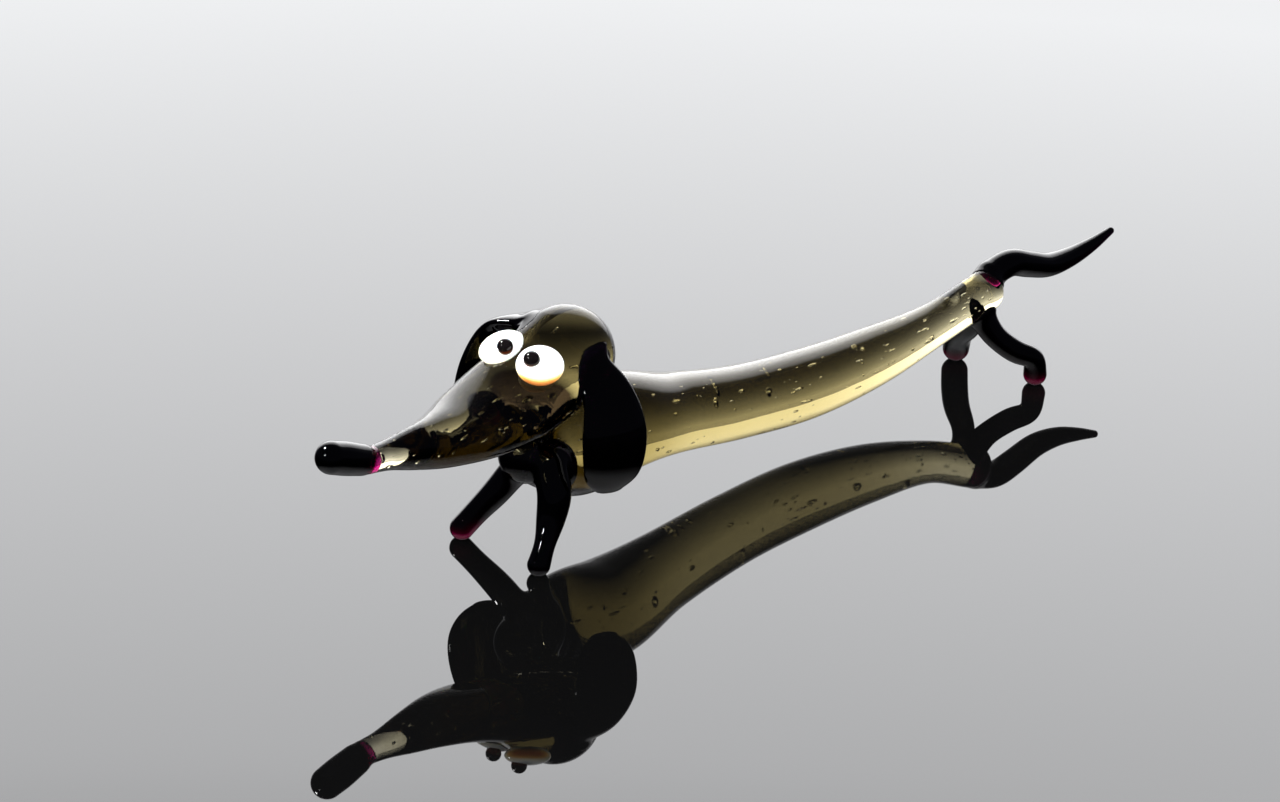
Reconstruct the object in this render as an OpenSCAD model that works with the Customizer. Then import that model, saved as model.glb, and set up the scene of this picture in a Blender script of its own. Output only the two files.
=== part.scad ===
// Glass dachshund: a long torso with a head on top of its front end, made of separate gathers
// of glass that meet face to face. X runs from nose to tail, Z is up, and the dog's left is -Y.
// The fore feet stand at x = 0 before the whole dog is centred over its own footprint.

/* [Stance] */
// Distance from the fore feet to the hind feet
wheelbase = 71.5; // [60:0.5:85]
// Distance between a left foot and the right foot beside it
track = 10; // [8:0.5:12]
// Diameter of the flat under each foot
foot_flat_d = 1.2; // [0.8:0.1:1.4]

/* [Torso] */
// Radius of the torso at the chest
chest_r = 5; // [4.5:0.1:5.4]
// Radius of the torso at its sagging middle
belly_r = 3.5; // [3:0.1:4]
// Radius of the torso at the rump
rump_r = 1.9; // [1.7:0.1:2.3]
// Height of the chest's centre line
chest_z = 10; // [9.5:0.1:10.5]
// Height of the belly's centre line
belly_z = 6; // [5:0.1:7]
// Height of the rump's centre line
rump_z = 9.8; // [9.2:0.1:10.4]

/* [Head] */
// Radius of the skull
skull_r = 4.6; // [4.2:0.1:4.8]
// Radius of the muzzle just behind the nose
muzzle_r = 1.2; // [1:0.1:1.4]
// Distance from the back of the muzzle's collar to the middle of the skull
head_length = 24.3; // [20:0.1:28]
// Roll of the head towards the dog's left
head_roll = 8; // [0:1:10]
// Radius of the nose bead
nose_r = 1.55; // [1.4:0.05:1.8]

/* [Ears] */
// Half width of an ear at its widest
ear_half_width = 3.2; // [2.6:0.1:3.4]
// Thickness of an ear
ear_thickness = 1.9; // [1.5:0.1:2.2]

/* [Eyes] */
// Diameter of the white disc
eye_d = 4.4; // [4:0.1:4.8]
// Thickness of the white disc at its middle
eye_thickness = 1.8; // [1.5:0.1:2]
// Diameter of the pupil bead
pupil_d = 1.5; // [1.2:0.05:1.8]

/* [Legs and tail] */
// Radius of a leg at its foot
foot_r = 1.2; // [1.05:0.05:1.35]
// Radius of the tail at its root
tail_r = 1.45; // [1.3:0.05:1.6]
// Length of the tail
tail_length = 19; // [15:0.5:24]

/* [Hidden] */
$fn = 48;

GLASS_YELLOW = [0.80, 0.74, 0.42, 0.6];
GLASS_DARK = [0.07, 0.02, 0.04];
OPAL_WHITE = [0.97, 0.95, 0.90];
BEAD_BROWN = [0.10, 0.04, 0.03];

half_track = track / 2;
ear_half_thickness = ear_thickness / 2;
head_y = -0.3;

// Routes. Each point is [x, y, z, half width, half thickness] of the glass there.
function round_point(x, y, z, r) = [x, y, z, r, r];
function foot_point(x, y, r) = round_point(x, y, sqrt(r * r - foot_flat_d * foot_flat_d / 4), r);

torso_route = [
    round_point(2.8, 0, chest_z - 0.6, 0.54 * chest_r),
    round_point(8.0, -0.4, chest_z - 1.2, 0.92 * chest_r),
    round_point(0.20 * wheelbase, 0.1, chest_z - 0.6, 0.97 * chest_r),
    round_point(0.31 * wheelbase, 0.5, (chest_z + belly_z) / 2 + 0.2, (chest_r + belly_r) / 2 - 0.3),
    round_point(0.45 * wheelbase, 0.6, belly_z + 0.7, belly_r + 0.1),
    round_point(0.59 * wheelbase, 0.6, belly_z, belly_r),
    round_point(0.73 * wheelbase, 0.6, belly_z + 0.3, belly_r - 0.5),
    round_point(0.86 * wheelbase, 0.4, (belly_z + rump_z) / 2 - 0.4, rump_r + 0.3),
    [0.955 * wheelbase, -0.4, rump_z - 0.2, rump_r, rump_r + 0.35]
];

skull_x = 7.1;
head_route = [
    round_point(skull_x - head_length, 0, 14.3, muzzle_r),
    round_point(skull_x - 0.91 * head_length, 0, 14.2, 1.15 * muzzle_r),
    [skull_x - 0.78 * head_length, 0, 14.0, 1.5 * muzzle_r, 1.7 * muzzle_r],
    [skull_x - 0.64 * head_length, -0.1, 13.9, 0.65 * skull_r, 0.53 * skull_r],
    [skull_x - 0.49 * head_length, -0.2, 14.3, 0.98 * skull_r, 0.56 * skull_r],
    [skull_x - 0.32 * head_length, head_y, 15.3, 1.15 * skull_r, 0.66 * skull_r],
    [skull_x - 0.16 * head_length, head_y, 16.6, 1.13 * skull_r, 0.85 * skull_r],
    round_point(skull_x, head_y, 18.3, skull_r)
];

nose_x = skull_x - head_length - 1.2;
nose_route = [
    round_point(nose_x - 3.4, 0, 15.8, 0.97 * nose_r),
    round_point(nose_x - 1.8, 0, 15.3, nose_r),
    round_point(nose_x, 0, 14.7, 0.94 * nose_r)
];

function ear_point(x, y, z, width) = [x, y, z, width * ear_half_width, min(width, 1) * ear_half_thickness];

ear_left_route = [
    ear_point(6.6, -4.0, 19.6, 0.3),
    ear_point(6.3, -6.4, 16.9, 0.74),
    ear_point(6.0, -7.8, 13.5, 1),
    ear_point(5.9, -8.0, 10.4, 0.97),
    ear_point(6.0, -7.6, 8.4, 0.8),
    ear_point(6.1, -7.3, 7.4, 0.45)
];
ear_right_route = [
    ear_point(7.0, 3.2, 20.8, 0.6),
    ear_point(6.6, 6.2, 19.4, 0.86),
    ear_point(5.8, 7.6, 16.0, 1.02),
    ear_point(5.3, 7.9, 12.3, 1.05),
    ear_point(5.2, 7.3, 9.8, 0.85),
    ear_point(5.2, 6.9, 8.7, 0.5)
];

foreleg_left_route = [
    round_point(3.2, -2.6, 9.0, 1.6),
    round_point(2.6, -half_track + 1.2, 6.8, 1.6),
    round_point(1.9, -half_track + 0.9, 4.5, 1.35),
    round_point(0.6, -half_track + 0.3, 2.6, 0.98),
    foot_point(-0.3, -half_track + 0.1, 0.9 * foot_r)
];
foreleg_right_route = [
    round_point(4.4, 1.6, 8.2, 1.6),
    round_point(3.9, half_track - 1.9, 6.1, 1.4),
    round_point(2.8, half_track - 1.1, 4.4, 1.3),
    round_point(1.5, half_track - 0.1, 2.6, 1.15),
    foot_point(0.3, half_track + 0.7, 0.95 * foot_r)
];
hindleg_left_route = [
    round_point(wheelbase - 4.2, -0.9, 7.3, 1.4),
    round_point(wheelbase - 3.4, -half_track + 2.8, 5.3, 1.2),
    round_point(wheelbase - 1.9, -half_track + 1.2, 3.7, 1.2),
    round_point(wheelbase - 0.4, -half_track, 2.9, 1.1),
    foot_point(wheelbase + 0.2, -half_track + 0.1, foot_r)
];
hindleg_right_route = [
    round_point(wheelbase - 4.1, 0.3, 7.1, 1.15),
    round_point(wheelbase - 3.5, half_track - 4.0, 5.5, 1.2),
    round_point(wheelbase - 2.5, half_track - 2.2, 4.1, 1.35),
    round_point(wheelbase - 1.4, half_track - 0.9, 2.8, 1.4),
    foot_point(wheelbase - 0.6, half_track - 0.1, 1.15 * foot_r)
];

tail_x = wheelbase - 2;
tail_route = [
    round_point(tail_x, 0, 11.0, tail_r),
    round_point(tail_x + 0.15 * tail_length, -0.2, 11.6, 0.97 * tail_r),
    round_point(tail_x + 0.29 * tail_length, -0.4, 10.9, 0.95 * tail_r),
    round_point(tail_x + 0.47 * tail_length, -0.4, 10.0, 0.87 * tail_r),
    round_point(tail_x + 0.66 * tail_length, -0.4, 10.0, 0.71 * tail_r),
    round_point(tail_x + 0.84 * tail_length, -0.5, 10.6, 0.5 * tail_r),
    round_point(tail_x + tail_length, -0.5, 11.4, 0.28 * tail_r)
];

// A smooth curve through a route: Catmull-Rom, with the end spans run straight on.
function between(a, b, c, d, t) =
    0.5 * (2 * b + (c - a) * t + (2 * a - 5 * b + 4 * c - d) * t * t + (3 * b - a - 3 * c + d) * t * t * t);
function span(route, i, t) =
    let (
        last = len(route) - 1,
        before = i == 0 ? 2 * route[0] - route[1] : route[i - 1],
        after = i + 2 > last ? 2 * route[last] - route[last - 1] : route[i + 2]
    )
    between(before, route[i], route[i + 1], after, t);
function smooth(route, steps) = [
    for (i = [0:len(route) - 2], k = [0:steps - 1]) span(route, i, k / steps),
    route[len(route) - 1]
];

// The glass is rounded off past each end of its route, by its thickness there.
cap_angles = [68, 45, 22];
function place(p) = [p[0], p[1], p[2]];
function unit(v) = v / norm(v);
function shifted(p, way, angle) =
    let (centre = place(p) + way * min(p[3], p[4]) * sin(angle), s = cos(angle))
    [centre.x, centre.y, centre.z, p[3] * s, p[4] * s];
function capped(path) =
    let (
        last = len(path) - 1,
        out_a = unit(place(path[0]) - place(path[1])),
        out_b = unit(place(path[last]) - place(path[last - 1]))
    )
    concat(
        [for (a = cap_angles) shifted(path[0], out_a, a)],
        path,
        [for (i = [2:-1:0]) shifted(path[last], out_b, cap_angles[i])]
    );
function tip(path, end) =
    let (
        p = end == 0 ? path[0] : path[len(path) - 1],
        q = end == 0 ? path[1] : path[len(path) - 2]
    )
    place(p) + unit(place(p) - place(q)) * min(p[3], p[4]);

// One closed skin over a route. Its width lies along the direction named across.
function ring(path, i, across, sides) =
    let (
        last = len(path) - 1,
        along = unit(place(path[min(i + 1, last)]) - place(path[max(i - 1, 0)])),
        wide = unit(across - along * (across * along)),
        thick = cross(along, wide)
    )
    [for (k = [0:sides - 1])
        place(path[i])
            + wide * path[i][3] * cos(360 * k / sides)
            + thick * path[i][4] * sin(360 * k / sides)
    ];
function skin_points(route, across, sides, steps) =
    let (path = smooth(route, steps), full = capped(path))
    concat(
        [for (i = [0:len(full) - 1]) each ring(full, i, across, sides)],
        [tip(path, 0), tip(path, 1)]
    );

module skin(route, across, sides, steps) {
    points = skin_points(route, across, sides, steps);
    rings = (len(points) - 2) / sides;
    start = len(points) - 2;
    finish = len(points) - 1;
    top = (rings - 1) * sides;
    faces = concat(
        [for (k = [0:sides - 1]) [start, k, (k + 1) % sides]],
        [for (i = [0:rings - 2], k = [0:sides - 1]) each let (
            a = i * sides + k,
            b = i * sides + (k + 1) % sides
        ) [[a, a + sides, b], [b, a + sides, b + sides]]],
        [for (k = [0:sides - 1]) [finish, top + (k + 1) % sides, top + k]]
    );
    polyhedron(points, faces);
}

module torso_gather() { skin(torso_route, [0, 1, 0], 36, 5); }
module head_gather() { skin(head_route, [0, cos(head_roll), sin(head_roll)], 36, 5); }
module leg_gather(route) { skin(route, [1, 0, 0], 20, 5); }

// Everything is drawn about the fore feet, then moved so that the origin is under the middle.
ear_turn = 20;
left_ear_across = [cos(ear_turn), -sin(ear_turn), 0];
right_ear_across = [cos(ear_turn), -sin(ear_turn), 0];
function reach(points, axis, most) = let (v = [for (p = points) p[axis]]) most ? max(v) : min(v);
nose_skin = skin_points(nose_route, [0, 1, 0], 24, 6);
tail_skin = skin_points(tail_route, [0, 1, 0], 20, 5);
left_ear_skin = skin_points(ear_left_route, left_ear_across, 28, 5);
right_ear_skin = skin_points(ear_right_route, right_ear_across, 28, 5);
centre_x = (reach(nose_skin, 0, false) + reach(tail_skin, 0, true)) / 2;
centre_y = (reach(left_ear_skin, 1, false) + reach(right_ear_skin, 1, true)) / 2;
module centred() { translate([-centre_x, -centre_y, 0]) children(); }

module torso() {
    color(GLASS_YELLOW) centred() torso_gather();
}

module head() {
    color(GLASS_YELLOW) centred() difference() {
        head_gather();
        torso_gather();
    }
}

module nose() {
    color(GLASS_DARK) centred() difference() {
        skin(nose_route, [0, 1, 0], 24, 6);
        head_gather();
    }
}

module ear(route, across) {
    color(GLASS_DARK) centred() difference() {
        skin(route, across, 28, 5);
        head_gather();
    }
}
module ear_left() { ear(ear_left_route, left_ear_across); }
module ear_right() { ear(ear_right_route, right_ear_across); }

// An eye is a lens, the part shared by two balls, sunk half into the skull. Its pupil stands on it.
eye_ball_r = (eye_d * eye_d / 4 + eye_thickness * eye_thickness / 4) / eye_thickness;
eye_left_place = [1.0, -3.0, 19.5];
eye_left_tilt = [22, -24, 0];
eye_right_place = [1.3, 2.2, 19.7];
eye_right_tilt = [-5, -25, 0];
pupil_left_offset = [-0.5, 0.6, 0.95];
pupil_right_offset = [-0.6, -1.5, 0.95];

module eye_lens() {
    intersection() {
        translate([0, 0, eye_thickness / 2 - eye_ball_r]) sphere(eye_ball_r);
        translate([0, 0, eye_ball_r - eye_thickness / 2]) sphere(eye_ball_r);
    }
}
module eye(place, tilt) {
    color(OPAL_WHITE) centred() difference() {
        translate(place) rotate(tilt) eye_lens();
        head_gather();
    }
}
module eye_left() { eye(eye_left_place, eye_left_tilt); }
module eye_right() { eye(eye_right_place, eye_right_tilt); }

module pupil(place, tilt, offset) {
    color(BEAD_BROWN) centred() translate(place) rotate(tilt) difference() {
        translate(offset) sphere(pupil_d / 2);
        eye_lens();
    }
}
module pupil_left() { pupil(eye_left_place, eye_left_tilt, pupil_left_offset); }
module pupil_right() { pupil(eye_right_place, eye_right_tilt, pupil_right_offset); }

// A leg ends in a small flat at z = 0, and stops where the torso's glass starts. Each right leg
// also stops where its left leg starts.
module below_floor() {
    translate([-wheelbase, -wheelbase, -foot_r]) cube([3 * wheelbase, 2 * wheelbase, foot_r]);
}
module leg(route) {
    color(GLASS_DARK) centred() difference() {
        leg_gather(route);
        torso_gather();
        below_floor();
        children();
    }
}
module foreleg_left() { leg(foreleg_left_route); }
module foreleg_right() { leg(foreleg_right_route) leg_gather(foreleg_left_route); }
module hindleg_left() { leg(hindleg_left_route); }
module hindleg_right() { leg(hindleg_right_route) leg_gather(hindleg_left_route); }

module tail() {
    color(GLASS_DARK) centred() difference() {
        skin(tail_route, [0, 1, 0], 20, 5);
        torso_gather();
    }
}

torso();
head();
nose();
ear_left();
ear_right();
eye_left();
eye_right();
pupil_left();
pupil_right();
foreleg_left();
foreleg_right();
hindleg_left();
hindleg_right();
tail();
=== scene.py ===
"""Looks of the glass dachshund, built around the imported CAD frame.

Shapes are worked out in millimetres as fields: a field gives, for each point, roughly how far outside a
gather of glass it lies. Fields of fused gathers are blended, so that every joint gets its soft fillet,
and the skin of the result is stored in metres. X runs from nose to tail, Z is up, the dog's left is -Y.
"""

import math

import bmesh
import bpy
import numpy as np
import openvdb
from mathutils import Matrix, Vector


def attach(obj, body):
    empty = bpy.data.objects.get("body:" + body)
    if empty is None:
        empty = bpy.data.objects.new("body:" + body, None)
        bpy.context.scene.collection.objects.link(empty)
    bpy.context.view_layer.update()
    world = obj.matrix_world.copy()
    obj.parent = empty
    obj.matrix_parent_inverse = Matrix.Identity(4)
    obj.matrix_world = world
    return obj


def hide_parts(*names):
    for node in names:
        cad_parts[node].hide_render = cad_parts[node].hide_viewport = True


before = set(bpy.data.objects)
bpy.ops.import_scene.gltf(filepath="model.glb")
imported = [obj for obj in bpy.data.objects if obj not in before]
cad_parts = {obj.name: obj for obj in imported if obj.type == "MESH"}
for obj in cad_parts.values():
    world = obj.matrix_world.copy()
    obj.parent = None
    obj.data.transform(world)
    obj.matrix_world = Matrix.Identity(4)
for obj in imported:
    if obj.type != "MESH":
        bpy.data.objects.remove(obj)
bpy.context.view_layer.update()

MM = 0.001
FORE_FEET_X = -32.8  # the routes below count x from the fore feet, as the CAD part's do

# Driving dimensions, in millimetres
WHEELBASE = 71.5
HALF_TRACK = 5.0
CHEST_R = 5.0
BELLY_R = 3.5
RUMP_R = 1.9
CHEST_Z = 10.0
BELLY_Z = 6.0
RUMP_Z = 9.8
SKULL_R = 4.6
SKULL_X = 7.1
MUZZLE_R = 1.2
HEAD_LENGTH = 24.3
HEAD_ROLL = math.radians(8)
NOSE_R = 1.55
EAR_HALF_WIDTH = 3.2
EAR_HALF_THICKNESS = 0.95
EAR_TURN = math.radians(20)
EYE_R = 2.2
EYE_HALF_THICKNESS = 0.9
PUPIL_R = 0.75
FOOT_R = 1.2
FOOT_FLAT_R = 0.6
TAIL_R = 1.45
TAIL_LENGTH = 19.0

# How the gathers run into each other
NECK_FILLET = 2.4
LIMB_FILLET = 1.4
NOSE_FILLET = 0.8
EAR_FILLET = 1.0
EYE_FILLET = 0.35
PUPIL_FILLET = 0.12
# How far from itself a gather may spread over its host
FORELEG_REACH = 0.9
HINDLEG_REACH = 0.3
TAIL_REACH = 0.5
NOSE_REACH = 0.5
EAR_LEFT_REACH = 0.6
EAR_RIGHT_REACH = 1.4
EYE_REACH = 0.05
PUPIL_REACH = 0.03
PUPIL_SINK = 0.1
SINK = 0.15  # how far a dark gather reaches under the clear skin that it is fused to
EDGE = 0.12  # rounding of a gather's edges
NECK_CUT = Vector((5.5, 0, 13.1))  # where the head's glass ends and the torso's starts
NECK_SLOPE = 0.23
NECK_GAP = 0.01

# How finely things are worked out
STATION = 0.2  # spacing of the points along a route
SOFTEN = 8  # rounds of smoothing, which take the sharpness out of a route's bends
COARSE = 0.25  # lattice spacing for the torso and head
FINE = 0.13  # for the dark gathers and the eyes
BEAD_FINE = 0.07  # for the pupils
BLOCK = 5  # lattice points on each side of a block
SLOPE_STEP = 0.02

# Small voids in the clear glass: half thicknesses and how common each is
BUBBLE_SEED = 11
BUBBLE_SIZES = [0.04, 0.07, 0.1, 0.16]
BUBBLE_ODDS = [0.35, 0.35, 0.22, 0.08]
TORSO_BUBBLES = 190
HEAD_BUBBLES = 70


# --- fields ---------------------------------------------------------------------------------------

def unit(v):
    return v / np.linalg.norm(v, axis=-1, keepdims=True)


def smooth(route):
    """Rows STATION apart on a Catmull-Rom curve through the route's rows."""
    rows = np.array(route, float)
    padded = np.vstack([2 * rows[0] - rows[1], rows, 2 * rows[-1] - rows[-2]])
    t = np.linspace(0, 1, 40, endpoint=False)[:, None]
    spans = []
    for a, b, c, d in zip(padded, padded[1:], padded[2:], padded[3:]):
        cubic = (3 * b - a - 3 * c + d) * t ** 3
        spans.append(0.5 * (2 * b + (c - a) * t + (2 * a - 5 * b + 4 * c - d) * t ** 2 + cubic))
    dense = np.vstack(spans + [rows[-1:]])
    run = np.concatenate([[0], np.cumsum(np.linalg.norm(np.diff(dense[:, :3], axis=0), axis=1))])
    even = np.linspace(0, run[-1], max(4, round(run[-1] / STATION)) + 1)
    rows = np.stack([np.interp(even, run, column) for column in dense.T], 1)
    for _ in range(SOFTEN):
        rows[1:-1] = (rows[:-2] + 2 * rows[1:-1] + rows[2:]) / 4
    return rows


class Gather:
    """A rod of glass with round ends, along a route of [x, y, z, half width, half thickness]."""

    CHUNK = 20000
    STRIDE = 5  # stations between those that the first search looks at

    def __init__(self, route, across=(0, 1, 0)):
        rows = smooth(route)
        self.centre = rows[:, :3] + (FORE_FEET_X, 0, 0)
        self.half = rows[:, 3:]
        self.last = len(rows) - 1
        steps = np.gradient(self.centre, axis=0)
        self.spacing = np.linalg.norm(steps, axis=1).mean()
        self.along = unit(steps)
        across = np.array(across, float)
        self.wide = unit(across - self.along * (self.along @ across)[:, None])
        self.thick = np.cross(self.along, self.wide)
        self.rows = np.hstack([self.centre, self.along, self.wide, self.thick, self.half])
        margin = self.half.max(1)[:, None]
        self.low = (self.centre - margin).min(0)
        self.high = (self.centre + margin).max(0)

    def __call__(self, points):
        starts = range(0, len(points), self.CHUNK)
        return np.concatenate([self.part(points[k:k + self.CHUNK]) for k in starts])

    def rows_at(self, t):
        """Everything about the rod at fractional stations t."""
        k = np.minimum(t.astype(int), self.last - 1)
        share = (t - k)[:, None]
        return self.rows[k] * (1 - share) + self.rows[k + 1] * share

    def part(self, points):
        few = self.centre[::self.STRIDE]
        t = ((few ** 2).sum(1) - 2 * points @ few.T).argmin(1) * float(self.STRIDE)
        for _ in range(4):
            row = self.rows_at(t)
            s = ((points - row[:, :3]) * row[:, 3:6]).sum(1)
            t = np.clip(t + 0.65 * s / self.spacing, 0, self.last)
        row = self.rows_at(t)
        away = points - row[:, :3]
        s, u, v = ((away * row[:, k:k + 3]).sum(1) for k in (3, 6, 9))
        past = np.where((t <= 0) | (t >= self.last), s, 0)
        half = row[:, 12:]
        cap = half.min(1)
        share = np.stack([u / half[:, 0], v / half[:, 1], past / cap], 1)
        steep = share / np.stack([half[:, 0], half[:, 1], cap], 1)
        size = np.linalg.norm(share, axis=1) + 1e-6
        return size * (size - 1) / (np.linalg.norm(steep, axis=1) + 1e-7)


class Ball:
    """A ball, or a flattened one: its centre, the turn of its own frame, and its three half sizes."""

    def __init__(self, centre, turn, half):
        self.centre = np.array(centre, float)
        self.turn = np.array(turn)
        self.half = np.array(half, float)
        self.low = self.centre - max(half)
        self.high = self.centre + max(half)

    def local(self, points):
        return (points - self.centre) @ self.turn

    def __call__(self, points):
        share = self.local(points) / self.half
        size = np.linalg.norm(share, axis=1) + 1e-6
        return size * (size - 1) / (np.linalg.norm(share / self.half, axis=1) + 1e-7)


def joined(a, b, fillet):
    """The union of two fields, with a fillet of about that size along the crease."""
    near = np.maximum(fillet - np.abs(a - b), 0) / fillet
    return np.minimum(a, b) - near ** 3 * fillet / 6


def common(a, b, edge):
    """The part that two fields share, with its edges rounded by about that much."""
    return -joined(-a, -b, edge)


def fused_to(host, gather, fillet, reach):
    """The field of a gather that flares onto its host's skin, and stops a little under it."""
    def field(points):
        own, under = gather(points), host(points)
        flared = common(joined(own, under, fillet), own - reach, EDGE)
        return common(flared, -under - SINK, EDGE)
    return field


def standing(field):
    """The same field, cut flat where it meets the surface that the dog stands on."""
    return lambda points: np.maximum(field(points), -points[:, 2])


# --- the routes of the gathers ----------------------------------------------------------------------

def round_point(x, y, z, r):
    return [x, y, z, r, r]


def foot_point(x, y, r):
    return round_point(x, y, math.sqrt(r * r - FOOT_FLAT_R ** 2), r)


def ear_point(x, y, z, width):
    return [x, y, z, width * EAR_HALF_WIDTH, min(width, 1) * EAR_HALF_THICKNESS]


def head_point(share, y, z, half_width, half_thickness):
    return [SKULL_X - share * HEAD_LENGTH, y, z, half_width, half_thickness]


def tail_point(share, y, z, r):
    return round_point(WHEELBASE - 2 + share * TAIL_LENGTH, y, z, r * TAIL_R)


TORSO = Gather([
    round_point(2.8, 0, CHEST_Z - 0.6, 0.54 * CHEST_R),
    round_point(8.0, -0.4, CHEST_Z - 1.2, 0.92 * CHEST_R),
    round_point(0.20 * WHEELBASE, 0.1, CHEST_Z - 0.6, 0.97 * CHEST_R),
    round_point(0.31 * WHEELBASE, 0.5, (CHEST_Z + BELLY_Z) / 2 + 0.2, (CHEST_R + BELLY_R) / 2 - 0.3),
    round_point(0.45 * WHEELBASE, 0.6, BELLY_Z + 0.7, BELLY_R + 0.1),
    round_point(0.59 * WHEELBASE, 0.6, BELLY_Z, BELLY_R),
    round_point(0.73 * WHEELBASE, 0.6, BELLY_Z + 0.3, BELLY_R - 0.5),
    round_point(0.86 * WHEELBASE, 0.4, (BELLY_Z + RUMP_Z) / 2 - 0.4, RUMP_R + 0.3),
    [0.955 * WHEELBASE, -0.4, RUMP_Z - 0.2, RUMP_R, RUMP_R + 0.35],
])
HEAD = Gather([
    head_point(1, 0, 14.3, MUZZLE_R, MUZZLE_R),
    head_point(0.91, 0, 14.2, 1.15 * MUZZLE_R, 1.15 * MUZZLE_R),
    head_point(0.78, 0, 14.0, 1.5 * MUZZLE_R, 1.7 * MUZZLE_R),
    head_point(0.64, -0.1, 13.9, 0.65 * SKULL_R, 0.53 * SKULL_R),
    head_point(0.49, -0.2, 14.3, 0.98 * SKULL_R, 0.56 * SKULL_R),
    head_point(0.32, -0.3, 15.3, 1.15 * SKULL_R, 0.66 * SKULL_R),
    head_point(0.16, -0.3, 16.6, 1.13 * SKULL_R, 0.85 * SKULL_R),
    head_point(0, -0.3, 18.3, SKULL_R, SKULL_R),
], across=(0, math.cos(HEAD_ROLL), math.sin(HEAD_ROLL)))
NOSE_X = SKULL_X - HEAD_LENGTH - 1.2
NOSE = Gather([
    round_point(NOSE_X - 3.4, 0, 15.8, 0.97 * NOSE_R),
    round_point(NOSE_X - 1.8, 0, 15.3, NOSE_R),
    round_point(NOSE_X, 0, 14.7, 0.94 * NOSE_R),
])
EAR_ACROSS = (math.cos(EAR_TURN), -math.sin(EAR_TURN), 0)
EARS = {
    "ear_left": Gather([
        ear_point(6.6, -4.0, 19.6, 0.3),
        ear_point(6.3, -6.4, 16.9, 0.74),
        ear_point(6.0, -7.8, 13.5, 1),
        ear_point(5.9, -8.0, 10.4, 0.97),
        ear_point(6.0, -7.6, 8.4, 0.8),
        ear_point(6.1, -7.3, 7.4, 0.45),
    ], across=EAR_ACROSS),
    "ear_right": Gather([
        ear_point(7.0, 3.2, 20.8, 0.6),
        ear_point(6.6, 6.2, 19.4, 0.86),
        ear_point(5.8, 7.6, 16.0, 1.02),
        ear_point(5.3, 7.9, 12.3, 1.05),
        ear_point(5.2, 7.3, 9.8, 0.85),
        ear_point(5.2, 6.9, 8.7, 0.5),
    ], across=EAR_ACROSS),
}
LEG_ACROSS = (1, 0, 0)
LEGS = {
    "foreleg_left": Gather([
        round_point(3.2, -2.6, 9.0, 1.6),
        round_point(2.6, -HALF_TRACK + 1.2, 6.8, 1.6),
        round_point(1.9, -HALF_TRACK + 0.9, 4.5, 1.35),
        round_point(0.6, -HALF_TRACK + 0.3, 2.6, 0.98),
        foot_point(-0.3, -HALF_TRACK + 0.1, 0.9 * FOOT_R),
    ], across=LEG_ACROSS),
    "foreleg_right": Gather([
        round_point(4.4, 1.6, 8.2, 1.6),
        round_point(3.9, HALF_TRACK - 1.9, 6.1, 1.4),
        round_point(2.8, HALF_TRACK - 1.1, 4.4, 1.3),
        round_point(1.5, HALF_TRACK - 0.1, 2.6, 1.15),
        foot_point(0.3, HALF_TRACK + 0.7, 0.95 * FOOT_R),
    ], across=LEG_ACROSS),
    "hindleg_left": Gather([
        round_point(WHEELBASE - 4.2, -0.9, 7.3, 1.4),
        round_point(WHEELBASE - 3.4, -HALF_TRACK + 2.8, 5.3, 1.2),
        round_point(WHEELBASE - 1.9, -HALF_TRACK + 1.2, 3.7, 1.2),
        round_point(WHEELBASE - 0.4, -HALF_TRACK, 2.9, 1.1),
        foot_point(WHEELBASE + 0.2, -HALF_TRACK + 0.1, FOOT_R),
    ], across=LEG_ACROSS),
    "hindleg_right": Gather([
        round_point(WHEELBASE - 4.1, 0.3, 7.1, 1.15),
        round_point(WHEELBASE - 3.5, HALF_TRACK - 4.0, 5.5, 1.2),
        round_point(WHEELBASE - 2.5, HALF_TRACK - 2.2, 4.1, 1.35),
        round_point(WHEELBASE - 1.4, HALF_TRACK - 0.9, 2.8, 1.4),
        foot_point(WHEELBASE - 0.6, HALF_TRACK - 0.1, 1.15 * FOOT_R),
    ], across=LEG_ACROSS),
}
TAIL = Gather([
    tail_point(0, 0, 11.0, 1),
    tail_point(0.15, -0.2, 11.6, 0.97),
    tail_point(0.29, -0.4, 10.9, 0.95),
    tail_point(0.47, -0.4, 10.0, 0.87),
    tail_point(0.66, -0.4, 10.0, 0.71),
    tail_point(0.84, -0.5, 10.6, 0.5),
    tail_point(1, -0.5, 11.4, 0.28),
])
# Each eye: its place, its tilt about X and then Y in degrees, its pupil's place in that frame,
# and how much of its lower rim is painted amber to brown, a painted glow and shade
EYES = {
    "left": ((1.0, -3.0, 19.5), (22, -24), (-0.5, 0.6, 0.95), 1.0),
    "right": ((1.3, 2.2, 19.7), (-5, -25), (-0.6, -1.5, 0.95), 0.35),
}


def body(points):
    """Torso and head, fused at the neck."""
    return joined(TORSO(points), HEAD(points), NECK_FILLET)


# --- from fields to meshes --------------------------------------------------------------------------

def settled(field, points, most):
    """The points, moved twice along the field's slope, so that they lie on its skin."""
    for _ in range(2):
        here = field(points)
        ahead = [field(points + SLOPE_STEP * axis) - here for axis in np.eye(3)]
        slope = np.stack(ahead, 1) / SLOPE_STEP
        move = slope * (here / np.maximum((slope ** 2).sum(1), 0.05))[:, None]
        length = np.linalg.norm(move, axis=1, keepdims=True)
        points = points - move * np.minimum(1, most / np.maximum(length, 1e-9))
    return points


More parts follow.
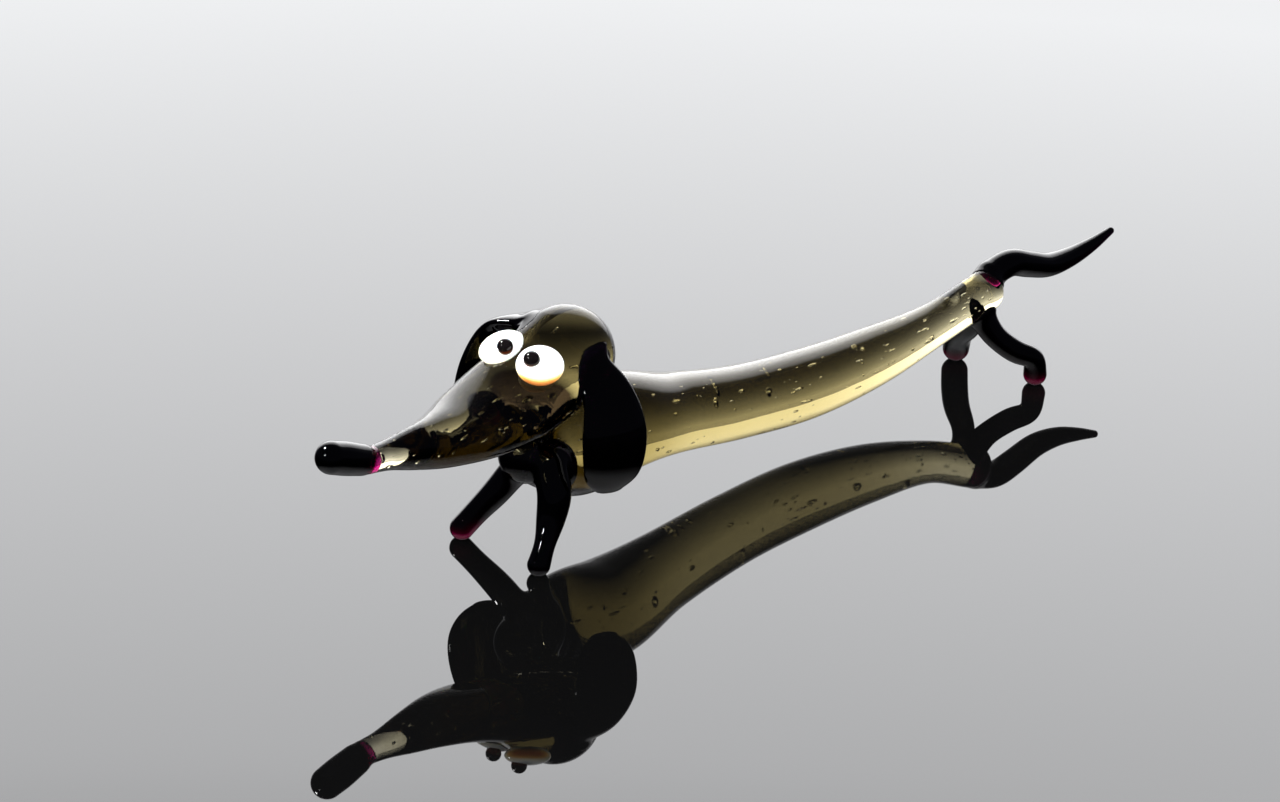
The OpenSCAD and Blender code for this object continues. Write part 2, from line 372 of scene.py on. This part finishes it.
def sampled(field, low, shape, voxel):
    """The field on a lattice, worked out only in the blocks that its skin may pass through."""
    count = -(-shape // BLOCK)
    inner = np.stack(np.meshgrid(*[np.arange(BLOCK)] * 3, indexing="ij"), -1).reshape(-1, 3)
    corner = np.stack(np.meshgrid(*map(np.arange, count), indexing="ij"), -1).reshape(-1, 3) * BLOCK
    rough = field(low + voxel * (corner + (BLOCK - 1) / 2))
    near = np.abs(rough) < 1.7 * BLOCK * voxel
    values = np.repeat(rough[:, None], BLOCK ** 3, 1)
    lattice = low + voxel * (corner[near][:, None] + inner)
    values[near] = field(lattice.reshape(-1, 3)).reshape(-1, BLOCK ** 3)
    return values.reshape(*count, BLOCK, BLOCK, BLOCK).transpose(0, 3, 1, 4, 2, 5).reshape(count * BLOCK)


def skin(field, low, high, voxel):
    """Points and faces of the field's skin inside a box, facing out."""
    low = np.array(low) - 3 * voxel
    shape = np.ceil((np.array(high) + 3 * voxel - low) / voxel).astype(int) + 1
    values = sampled(field, low, shape, voxel)
    grid = openvdb.FloatGrid(3 * voxel)
    grid.copyFromArray(np.clip(values, -3 * voxel, 3 * voxel).astype(np.float32))
    points, quads = grid.convertToQuads(0)
    points = settled(field, low + voxel * points.astype(float), voxel / 2)
    a, b, c, d = (points[quads[:, k]] for k in range(4))
    facing = (np.cross(c - a, d - b) * (a + b + c + d)).sum()
    return points, quads if facing > 0 else quads[:, ::-1]


def as_bmesh(points, faces):
    """A mesh in metres from points in millimetres."""
    mesh = bpy.data.meshes.new("skin")
    mesh.from_pydata((points * MM).tolist(), [], faces.tolist())
    bm = bmesh.new()
    bm.from_mesh(mesh)
    bpy.data.meshes.remove(mesh)
    return bm


def as_piece(bm, name, *materials):
    """A smooth-shaded object of the mesh, with its creases kept sharp."""
    mesh = bpy.data.meshes.new(name)
    bm.to_mesh(mesh)
    bm.free()
    mesh.shade_smooth()
    mesh.set_sharp_from_angle(angle=math.radians(50))
    for material in materials:
        mesh.materials.append(material)
    return bpy.data.objects.new(name, mesh)


def paint(piece, name, values):
    """Stores one number per point on the piece, for its material to read."""
    store = piece.data.attributes.new(name, "FLOAT", "POINT")
    store.data.foreach_set("value", np.clip(values, 0, 1).astype(np.float32))


def points_of(piece):
    """The piece's points, in millimetres."""
    flat = np.empty(len(piece.data.vertices) * 3)
    piece.data.vertices.foreach_get("co", flat)
    return flat.reshape(-1, 3) / MM


def show(piece, node):
    """Puts the piece in the scene in place of its CAD node."""
    GLASS.objects.link(piece)
    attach(piece, "root")
    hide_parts(node)


GLASS = bpy.data.collections.new("glass")  # what the small lamps light: the floor stays plain
bpy.context.scene.collection.children.link(GLASS)


# --- materials --------------------------------------------------------------------------------------

GLASS_IOR = 1.52
POLISH_HEIGHT = 0.00002  # in metres, as all material sizes are
STRAW = (0.353, 0.285, 0.0)
STRAW_DENSITY = 360
RUBY = (0.83, 0.0, 0.78)
RUBY_DENSITY = 10000


def new_material(name):
    material = bpy.data.materials.new(name)
    material.use_nodes = True
    nodes = material.node_tree.nodes
    return material, nodes, material.node_tree.links, nodes["Principled BSDF"]


def noise(nodes, links, scale, detail=3.0):
    """Noise in the piece's own metres."""
    place = nodes.new("ShaderNodeTexCoord")
    texture = nodes.new("ShaderNodeTexNoise")
    texture.inputs["Scale"].default_value = scale
    texture.inputs["Detail"].default_value = detail
    links.new(place.outputs["Object"], texture.inputs["Vector"])
    return texture.outputs["Fac"]


def ramp(nodes, links, source, *stops):
    """A colour ramp over source, with stops of (place, colour)."""
    node = nodes.new("ShaderNodeValToRGB")
    elements = node.color_ramp.elements
    while len(elements) < len(stops):
        elements.new(0.5)
    for element, (place, colour) in zip(elements, stops):
        element.position = place
        element.color = (*colour, 1)
    links.new(source, node.inputs["Fac"])
    return node.outputs["Color"]


def fire_polish(nodes, links, shader):
    """The faint waviness that a flame leaves on glass."""
    bump = nodes.new("ShaderNodeBump")
    bump.inputs["Strength"].default_value = 0.35
    bump.inputs["Distance"].default_value = POLISH_HEIGHT
    links.new(noise(nodes, links, 420, 2.0), bump.inputs["Height"])
    links.new(bump.outputs["Normal"], shader.inputs["Normal"])


def absorb(material, colour, density):
    """Plain absorption inside the glass. Density counts per metre."""
    nodes = material.node_tree.nodes
    inside = nodes.new("ShaderNodeVolumeAbsorption")
    inside.inputs["Color"].default_value = (*colour, 1)
    inside.inputs["Density"].default_value = density
    material.node_tree.links.new(inside.outputs["Volume"], nodes["Material Output"].inputs["Volume"])


def yellow_glass():
    """Transparent straw-yellow soda glass, painted nearly black near the right foreleg as painted shade.
    """
    material, nodes, links, shader = new_material("yellow_glass")
    streaky = noise(nodes, links, 160)
    streaks = ramp(nodes, links, streaky, (0.35, (0.97, 0.97, 0.93)), (0.7, (1, 1, 0.98)))
    # painted shade: where this mask is 1 the glass is tinted nearly black, standing in for shade
    painted_shade_share = nodes.new("ShaderNodeAttribute")
    painted_shade_share.attribute_name = "painted_shade"
    tint = nodes.new("ShaderNodeMix")
    tint.data_type = "RGBA"
    links.new(painted_shade_share.outputs["Fac"], tint.inputs["Factor"])
    links.new(streaks, tint.inputs["A"])
    tint.inputs["B"].default_value = (0.012, 0.008, 0.01, 1)
    links.new(tint.outputs["Result"], shader.inputs["Base Color"])
    shader.inputs["Transmission Weight"].default_value = 1.0
    shader.inputs["Roughness"].default_value = 0.0
    shader.inputs["IOR"].default_value = GLASS_IOR
    fire_polish(nodes, links, shader)
    absorb(material, STRAW, STRAW_DENSITY)
    return material


def neck_joint():
    """Inside the fused neck light goes straight on, because the glass is the same on both sides."""
    material, nodes, links, shader = new_material("neck_joint")
    clear = nodes.new("ShaderNodeBsdfTransparent")
    links.new(clear.outputs["BSDF"], nodes["Material Output"].inputs["Surface"])
    nodes.remove(shader)
    absorb(material, STRAW, STRAW_DENSITY)
    return material


def dark_glass():
    """Ruby glass, so strong that only thin edges and the thin feet let any light through."""
    material, nodes, links, shader = new_material("dark_glass")
    thin = nodes.new("ShaderNodeAttribute")
    thin.attribute_name = "thin"
    thin = thin.outputs["Fac"]
    tint = ramp(nodes, links, thin, (0.0, (0.004, 0.003, 0.006)), (1.0, (0.45, 0.12, 0.25)))
    links.new(tint, shader.inputs["Base Color"])
    shader.inputs["Transmission Weight"].default_value = 1.0
    shader.inputs["Roughness"].default_value = 0.0
    shader.inputs["IOR"].default_value = GLASS_IOR
    fire_polish(nodes, links, shader)
    absorb(material, RUBY, RUBY_DENSITY)
    return material


def opal_white():
    """Opaque white glass, painted amber going to brown on the lower part of its rim: a painted warm glow
    and shade at the disc's thin, proud edge.
    """
    material, nodes, links, shader = new_material("opal_white")
    rim = nodes.new("ShaderNodeAttribute")
    rim.attribute_name = "rim"
    colour = ramp(
        nodes, links, rim.outputs["Fac"],
        (0.0, (0.95, 0.94, 0.91)), (0.45, (0.93, 0.84, 0.58)),
        (0.75, (0.80, 0.42, 0.10)), (1.0, (0.42, 0.13, 0.03)),
    )
    links.new(colour, shader.inputs["Base Color"])
    shader.inputs["Subsurface Weight"].default_value = 0.3
    shader.inputs["Subsurface Radius"].default_value = (0.0008, 0.0005, 0.0003)
    shader.inputs["Subsurface Scale"].default_value = 1.0
    shader.inputs["Roughness"].default_value = 0.04
    shader.inputs["IOR"].default_value = GLASS_IOR
    fire_polish(nodes, links, shader)
    return material


def pupil_glass():
    """A dark brown bead with a painted red-brown glow along its lower edge, where light would show
    through the dark glass.
    """
    material, nodes, links, shader = new_material("pupil_glass")
    low = nodes.new("ShaderNodeAttribute")
    low.attribute_name = "rim"
    low = low.outputs["Fac"]
    colour = ramp(nodes, links, low, (0.6, (0.004, 0.003, 0.003)), (1.0, (0.10, 0.02, 0.006)))
    links.new(colour, shader.inputs["Base Color"])
    shader.inputs["Roughness"].default_value = 0.0
    shader.inputs["IOR"].default_value = GLASS_IOR
    fire_polish(nodes, links, shader)
    return material


# --- the clear glass: torso and head ----------------------------------------------------------------

def neck_height(points):
    """How far points are above the cut through the neck."""
    normal = np.array([-NECK_SLOPE, 0, 1]) / math.hypot(NECK_SLOPE, 1)
    return (points - np.array(NECK_CUT) - (FORE_FEET_X, 0, 0)) @ normal


def cut_at_neck(bm, above):
    """Keeps one side of the neck, and closes the cut with faces of the second material."""
    side = 1 if above else -1
    normal = Vector((-NECK_SLOPE, 0, 1)).normalized() * side
    place = (NECK_CUT + Vector((FORE_FEET_X, 0, 0)) + normal * NECK_GAP / 2) * MM
    everything = bm.verts[:] + bm.edges[:] + bm.faces[:]
    bmesh.ops.bisect_plane(
        bm, geom=everything, plane_co=place, plane_no=-normal, clear_outer=True, dist=1e-7,
    )
    rim = [e for e in bm.edges if e.is_boundary]
    made = bmesh.ops.contextual_create(bm, geom=rim, mat_nr=1)["faces"]
    bmesh.ops.triangulate(bm, faces=made)
    bmesh.ops.recalc_face_normals(bm, faces=bm.faces[:])


def add_bubbles(bm, gather, count, above, rng):
    """Small voids drawn out along the rod, each a closed skin that faces into itself."""
    made = 0
    while made < count:
        at = rng.integers(len(gather.centre))
        spread = rng.uniform(-0.85, 0.85, 2) * gather.half[at]
        centre = gather.centre[at] + spread[0] * gather.wide[at] + spread[1] * gather.thick[at]
        thick = rng.choice(BUBBLE_SIZES, p=BUBBLE_ODDS)
        long = thick * rng.uniform(2, 8)
        height = neck_height(centre[None])[0]
        if body(centre[None])[0] > -long - 0.25 or abs(height) < long + 0.2:
            continue
        if (height > 0) != above:
            continue
        turn = Matrix(np.stack([gather.along[at], gather.wide[at], gather.thick[at]], 1)).to_4x4()
        shape = Matrix.Diagonal((long * MM, thick * MM, thick * MM, 1))
        place = Matrix.Translation(Vector(centre) * MM) @ turn @ shape
        verts = bmesh.ops.create_icosphere(bm, subdivisions=2, radius=1, matrix=place)["verts"]
        faces = {face for vert in verts for face in vert.link_faces}
        bmesh.ops.reverse_faces(bm, faces=list(faces))
        made += 1


# Painted shade near the right foreleg: how far it reaches and how it fades
SHADE_REACH = 5.4
SHADE_FADE = 0.9
SHADE_FADE_ACROSS = 0.8


def painted_shade(points):
    """Painted shade: 1 on the far side of the throat and chest near the right foreleg, where the clear
    glass is painted nearly black in place of the shade seen through it, and 0 elsewhere.
    """
    near = np.clip((SHADE_REACH - LEGS["foreleg_right"](points)) / SHADE_FADE, 0, 1)
    return near * np.clip(points[:, 1] / SHADE_FADE_ACROSS, 0, 1)


def build_body(glass, joint, rng):
    """Torso and head from one skin, each cut off at the neck."""
    low = np.minimum(TORSO.low, HEAD.low)
    high = np.maximum(TORSO.high, HEAD.high)
    points, quads = skin(body, low, high, COARSE)
    parts = (("torso", TORSO, False, TORSO_BUBBLES), ("head", HEAD, True, HEAD_BUBBLES))
    for node, gather, above, count in parts:
        bm = as_bmesh(points, quads)
        cut_at_neck(bm, above)
        add_bubbles(bm, gather, count, above, rng)
        piece = as_piece(bm, node, glass, joint)
        # paints the painted-shade mask onto the piece
        paint(piece, "painted_shade", painted_shade(points_of(piece)))
        show(piece, node)


# --- the dark glass ---------------------------------------------------------------------------------

def build_dark(node, gather, field, glass, thin=None):
    """One dark gather. Thin says, for each of its points, how thin the glass is there."""
    points, quads = skin(field, gather.low - 1.5, gather.high + 1.5, FINE)
    piece = as_piece(as_bmesh(points, quads), node, glass)
    values = np.zeros(len(points)) if thin is None else thin(points_of(piece))
    paint(piece, "thin", values)
    show(piece, node)


FOOT_LOW = 0.3
FOOT_TOP = 2.4


def near_floor(points):
    """1 on the foot's underside, fading to 0 at the foot's top."""
    return np.clip((FOOT_TOP - points[:, 2]) / (FOOT_TOP - FOOT_LOW), 0, 1) ** 1.5


def near_host(host, reach):
    """1 on the thin skirt of a fused joint, and 0 away from it."""
    return lambda points: np.clip(1 - host(points) / reach, 0, 1)


# --- the eyes ---------------------------------------------------------------------------------------

def eye_frame(tilt):
    """The turn of an eye, about X first and then about Y."""
    about_x, about_y = (math.radians(angle) for angle in tilt)
    return Matrix.Rotation(about_y, 3, "Y") @ Matrix.Rotation(about_x, 3, "X")


def build_eye(side, opal, bead):
    """An opal disc sunk into the skull, and the bead that stands on it."""
    place, tilt, offset, amber = EYES[side]
    turn = eye_frame(tilt)
    centre = Vector(place) + Vector((FORE_FEET_X, 0, 0))
    disc = Ball(centre, turn, (EYE_R, EYE_R, EYE_HALF_THICKNESS))
    field = fused_to(HEAD, disc, EYE_FILLET, EYE_REACH)
    points, quads = skin(field, disc.low, disc.high, FINE)
    eye = as_piece(as_bmesh(points, quads), "eye_" + side, opal)
    own = disc.local(points_of(eye))
    down = turn.transposed() @ Vector((0, 0, -1))
    radial = np.linalg.norm(own[:, :2], axis=1) / EYE_R
    low = (own[:, :2] @ np.array(down)[:2]) / (EYE_R * math.hypot(down.x, down.y))
    # painted glow and shade: amber to brown on the disc's lower rim
    paint(eye, "rim", amber * (radial - 0.62) / 0.38 * np.clip(0.15 + low, 0, 1))
    show(eye, "eye_" + side)

    middle = centre + turn @ Vector(offset)
    ball = Ball(middle, turn, (PUPIL_R, PUPIL_R, PUPIL_R))

    def pupil_field(points):
        own, under = ball(points), disc(points)
        flared = common(joined(own, under, PUPIL_FILLET), own - PUPIL_REACH, EDGE / 4)
        return common(flared, -under - PUPIL_SINK, EDGE / 2)

    points, quads = skin(pupil_field, ball.low, ball.high, BEAD_FINE)
    pupil = as_piece(as_bmesh(points, quads), "pupil_" + side, bead)
    own = ball.local(points_of(pupil))
    # painted glow: red-brown along the bead's lower edge
    paint(pupil, "rim", (own @ np.array(down)) / PUPIL_R * 0.5 + 0.5 - own[:, 2] / PUPIL_R * 0.5)
    show(pupil, "pupil_" + side)


# --- the stage --------------------------------------------------------------------------------------

VIEW_TARGET = Vector((4.98, 18.34, 0)) * MM
VIEW_DISTANCE = 0.4648
VIEW_AZIMUTH = math.radians(-47.46)
VIEW_ELEVATION = math.radians(21.61)
VIEW_ROLL = math.radians(2.29)
LENS = 130.7
STAGE_CENTRE = Vector((0, 0, 10)) * MM  # what the small lamps are aimed at
LIGHT_AZIMUTH = math.radians(132.5)
LIGHT_ELEVATION = math.radians(14)
LIGHT_RADIANCE = 6.1
SPARK_DISTANCE = 0.8
FLOOR_IOR = 1.45
FLOOR_GREY = (0.4, 0.4, 0.405, 1)


def aim(obj, place, target, roll=0.0):
    """Puts a camera or lamp at that place, looking at the target."""
    turn = (target - place).to_track_quat("-Z", "Y").to_matrix().to_4x4()
    obj.matrix_world = Matrix.Translation(place) @ turn @ Matrix.Rotation(roll, 4, "Z")


def direction(azimuth, elevation):
    """The way from the object to a viewer at these angles. Azimuth 0 looks along +Y."""
    flat = math.cos(elevation)
    return Vector((math.sin(azimuth) * flat, -math.cos(azimuth) * flat, math.sin(elevation)))


def add_camera():
    """The photograph's viewing angle."""
    data = bpy.data.cameras.new("camera")
    data.lens = LENS
    data.clip_start = 0.01
    camera = bpy.data.objects.new("camera", data)
    bpy.context.scene.collection.objects.link(camera)
    place = VIEW_TARGET + direction(VIEW_AZIMUTH, VIEW_ELEVATION) * VIEW_DISTANCE
    aim(camera, place, VIEW_TARGET, VIEW_ROLL)
    bpy.context.scene.camera = camera


def add_spark(name, azimuth, elevation, size, radiance):
    """A small round lamp of that radiance, aimed at the dog: it makes the hard white points."""
    data = bpy.data.lights.new(name, "AREA")
    data.shape = "DISK"
    data.size = size
    data.energy = radiance * math.pi * math.pi * size ** 2 / 4
    lamp = bpy.data.objects.new(name, data)
    bpy.context.scene.collection.objects.link(lamp)
    lamp.light_linking.receiver_collection = GLASS
    away = direction(math.radians(azimuth), math.radians(elevation))
    aim(lamp, away * SPARK_DISTANCE, STAGE_CENTRE)


def light_map(nodes, links, direction_in):
    """What the glass mirrors: one wide soft light low behind the dog, and a dark room."""
    toward = nodes.new("ShaderNodeVectorMath")
    toward.operation = "DOT_PRODUCT"
    toward.inputs[1].default_value = direction(LIGHT_AZIMUTH, LIGHT_ELEVATION)
    links.new(direction_in, toward.inputs[0])
    return ramp(
        nodes, links, toward.outputs["Value"],
        (0.50, (0.004, 0.004, 0.006)), (0.75, (0.012, 0.012, 0.014)), (0.80, (0.17, 0.17, 0.175)),
        (0.92, (0.36, 0.36, 0.365)), (0.98, (0.6, 0.6, 0.605)),
    )


def ring_map(nodes, links, direction_in):
    """What is seen through the glass: low light from every side, so that it never goes black."""
    split = nodes.new("ShaderNodeSeparateXYZ")
    links.new(direction_in, split.inputs["Vector"])
    return ramp(
        nodes, links, split.outputs["Z"],
        (0.0, (1, 1, 1)), (0.34, (1, 1, 1)), (0.57, (0.38, 0.38, 0.385)),
        (0.67, (0.17, 0.17, 0.175)), (0.74, (0.012, 0.012, 0.014)),
    )


def studio_map(nodes, links, direction_in):
    """What floor and eyes see: the same light all round, so that the floor is pale from every side."""
    split = nodes.new("ShaderNodeSeparateXYZ")
    links.new(direction_in, split.inputs["Vector"])
    return ramp(
        nodes, links, split.outputs["Z"],
        (0.0, (0.98, 0.99, 1)), (0.30, (0.95, 0.96, 0.975)), (0.44, (0.93, 0.935, 0.95)),
        (0.60, (0.15, 0.15, 0.155)), (1.0, (0.10, 0.10, 0.105)),
    )


def mixed(nodes, links, share, first, second):
    """A blend of two colours."""
    node = nodes.new("ShaderNodeMix")
    node.data_type = "RGBA"
    links.new(share, node.inputs["Factor"])
    links.new(first, node.inputs["A"])
    links.new(second, node.inputs["B"])
    return node.outputs["Result"]


def math_node(nodes, links, operation, *values):
    """A sum over sockets, where a plain number is set on the node itself."""
    node = nodes.new("ShaderNodeMath")
    node.operation = operation
    for socket, value in zip(node.inputs, values):
        if isinstance(value, float):
            socket.default_value = value
        else:
            links.new(value, socket)
    return node.outputs["Value"]


def add_world():
    """Light by kind of ray: one map for floor and eyes, one for gloss, one for what shows through glass.

    The floor and the eyes aren't perfectly smooth, so rays that leave them aren't singular.
    """
    world = bpy.data.worlds.new("studio")
    bpy.context.scene.world = world
    world.use_nodes = True
    nodes, links = world.node_tree.nodes, world.node_tree.links
    place = nodes.new("ShaderNodeTexCoord").outputs["Generated"]
    path = nodes.new("ShaderNodeLightPath")
    first = math_node(nodes, links, "LESS_THAN", path.outputs["Ray Depth"], 2.5)
    soft = math_node(nodes, links, "SUBTRACT", 1.0, path.outputs["Is Singular Ray"])
    through = math_node(nodes, links, "GREATER_THAN", path.outputs["Transmission Depth"], 0.5)
    glass = mixed(nodes, links, through, light_map(nodes, links, place), ring_map(nodes, links, place))
    floor = math_node(nodes, links, "MULTIPLY", first, soft)
    light = mixed(nodes, links, floor, glass, studio_map(nodes, links, place))
    links.new(light, nodes["Background"].inputs["Color"])
    nodes["Background"].inputs["Strength"].default_value = LIGHT_RADIANCE


def risen(nodes, links, value, start, end, most):
    """A smooth step from 0 to most."""
    step = nodes.new("ShaderNodeMapRange")
    step.interpolation_type = "SMOOTHSTEP"
    step.inputs["From Min"].default_value = start
    step.inputs["From Max"].default_value = end
    step.inputs["To Max"].default_value = most
    links.new(value, step.inputs["Value"])
    return step.outputs["Result"]


def add_floor():
    """A plain floor: pale from above, and polished enough to mirror the dog at a low angle.

    Rays that come by way of the glass meet a little more mirror and less matte.
    """
    bpy.ops.mesh.primitive_plane_add(size=6, location=(0, 0, -0.00002))
    floor = bpy.context.object
    floor.name = "floor"
    material = bpy.data.materials.new("floor")
    material.use_nodes = True
    nodes, links = material.node_tree.nodes, material.node_tree.links
    nodes.remove(nodes["Principled BSDF"])
    matte = nodes.new("ShaderNodeBsdfDiffuse")
    matte.inputs["Color"].default_value = FLOOR_GREY
    polish = nodes.new("ShaderNodeFresnel")
    polish.inputs["IOR"].default_value = FLOOR_IOR
    mirror = nodes.new("ShaderNodeBsdfGlossy")
    mirror.inputs["Roughness"].default_value = 0.012
    seen = nodes.new("ShaderNodeLightPath").outputs["Is Camera Ray"]
    unseen = math_node(nodes, links, "SUBTRACT", 1.0, seen)
    dimmed = math_node(nodes, links, "MULTIPLY", polish.outputs["Fac"], 0.71)
    most = math_node(nodes, links, "MULTIPLY_ADD", unseen, 0.2, 0.15)
    links.new(math_node(nodes, links, "MINIMUM", dimmed, most), mirror.inputs["Color"])
    facing = nodes.new("ShaderNodeLayerWeight")
    facing.inputs["Blend"].default_value = 0.5
    facing = facing.outputs["Facing"]
    direct = risen(nodes, links, facing, 0.25, 0.54, 0.994)
    through = risen(nodes, links, facing, 0.12, 0.40, 1.0)
    through = math_node(nodes, links, "MULTIPLY", unseen, through)
    mix = nodes.new("ShaderNodeMixShader")
    links.new(math_node(nodes, links, "MAXIMUM", direct, through), mix.inputs["Fac"])
    links.new(matte.outputs["BSDF"], mix.inputs[1])
    links.new(mirror.outputs["BSDF"], mix.inputs[2])
    links.new(mix.outputs["Shader"], nodes["Material Output"].inputs["Surface"])
    floor.data.materials.append(material)


# --- making it --------------------------------------------------------------------------------------

add_camera()
add_world()
add_floor()
rng = np.random.default_rng(BUBBLE_SEED)
dark = dark_glass()
build_body(yellow_glass(), neck_joint(), rng)
nose = fused_to(HEAD, NOSE, NOSE_FILLET, NOSE_REACH)
build_dark("nose", NOSE, nose, dark, near_host(HEAD, 0.5))
ear = fused_to(HEAD, EARS["ear_left"], EAR_FILLET, EAR_LEFT_REACH)
build_dark("ear_left", EARS["ear_left"], ear, dark)
ear = fused_to(HEAD, EARS["ear_right"], 2 * EAR_FILLET, EAR_RIGHT_REACH)
build_dark("ear_right", EARS["ear_right"], ear, dark)
for node, gather in LEGS.items():
    reach = FORELEG_REACH if node.startswith("fore") else HINDLEG_REACH
    field = standing(fused_to(TORSO, gather, LIMB_FILLET, reach))
    build_dark(node, gather, field, dark, near_floor if node != "foreleg_left" else None)
tail = fused_to(TORSO, TAIL, LIMB_FILLET, TAIL_REACH)
build_dark("tail", TAIL, tail, dark, near_host(TORSO, 0.12))
opal, bead = opal_white(), pupil_glass()
for side in EYES:
    build_eye(side, opal, bead)
add_spark("spark", azimuth=207, elevation=50, size=0.11, radiance=240.0)
add_spark("spark_low", azimuth=262, elevation=30, size=0.05, radiance=160.0)
bpy.context.scene.view_settings.view_transform = "Standard"
